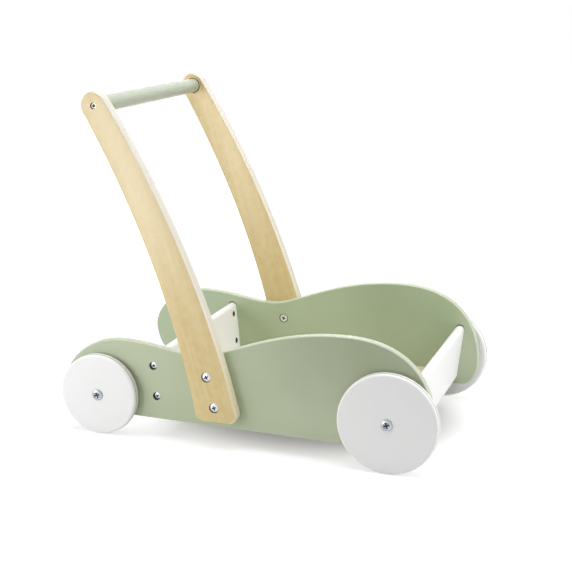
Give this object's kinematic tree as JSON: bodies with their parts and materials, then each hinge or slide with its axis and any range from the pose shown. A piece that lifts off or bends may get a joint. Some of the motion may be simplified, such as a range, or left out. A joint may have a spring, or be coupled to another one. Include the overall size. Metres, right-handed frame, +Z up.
{
  "type": "toy stroller walker",
  "caption": "Wooden push-along walker cart: curved green side panels, leaning white cross panels, bent birch arms with a grip bar, and free-rolling disc wheels.",
  "frame": {"origin": "on the ground under the middle of the overall length and width", "axes": "+X the way it rolls, from the handle towards the large front wheels; +Y its left side; +Z up"},
  "size_m": [0.508, 0.3284, 0.448],
  "materials": {
    "sage_paint": "satin sage-green paint on board",
    "white_paint": "satin white paint on board",
    "birch": "clear matt lacquer on birch",
    "floor_ply": "clear matt lacquer on plywood",
    "zinc": "bright zinc plate",
    "tread_rubber": "matt off-white rubber",
    "nylon": "natural nylon"
  },
  "bodies": {
    "cart": {"side_panel_left": "sage_paint", "side_panel_right": "sage_paint", "front_panel": "white_paint", "rear_panel": "white_paint", "floor_board": "floor_ply", "arm_left": "birch", "arm_right": "birch", "handle_bar": "sage_paint", "handle_screws": "zinc", "handle_inserts": "zinc", "arm_bolts": "zinc", "arm_sleeve_nuts": "zinc", "front_panel_bolts": "zinc", "rear_panel_bolts": "zinc", "front_barrel_nuts": "zinc", "rear_barrel_nuts": "zinc", "front_wheel_bolts": "zinc", "rear_wheel_bolts": "zinc", "wheel_spacers": "nylon", "wheel_nuts": "zinc"},
    "front_left_wheel": {"front_wheel_left": "white_paint", "front_tread_left": "tread_rubber", "front_bush_left": "nylon"},
    "front_right_wheel": {"front_wheel_right": "white_paint", "front_tread_right": "tread_rubber", "front_bush_right": "nylon"},
    "rear_left_wheel": {"rear_wheel_left": "white_paint", "rear_tread_left": "tread_rubber", "rear_bush_left": "nylon"},
    "rear_right_wheel": {"rear_wheel_right": "white_paint", "rear_tread_right": "tread_rubber", "rear_bush_right": "nylon"}
  },
  "joints": [
    {"name": "front_left_wheel_spin", "type": "hinge", "parent": "cart", "child": "front_left_wheel", "pos_m": [0.19, 0.15395, 0.064], "axis": [0, 1, 0], "continuous": true},
    {"name": "front_right_wheel_spin", "type": "hinge", "parent": "cart", "child": "front_right_wheel", "pos_m": [0.19, -0.15395, 0.064], "axis": [0, 1, 0], "continuous": true},
    {"name": "rear_left_wheel_spin", "type": "hinge", "parent": "cart", "child": "rear_left_wheel", "pos_m": [-0.2, 0.15395, 0.054], "axis": [0, 1, 0], "continuous": true},
    {"name": "rear_right_wheel_spin", "type": "hinge", "parent": "cart", "child": "rear_right_wheel", "pos_m": [-0.2, -0.15395, 0.054], "axis": [0, 1, 0], "continuous": true}
  ]
}
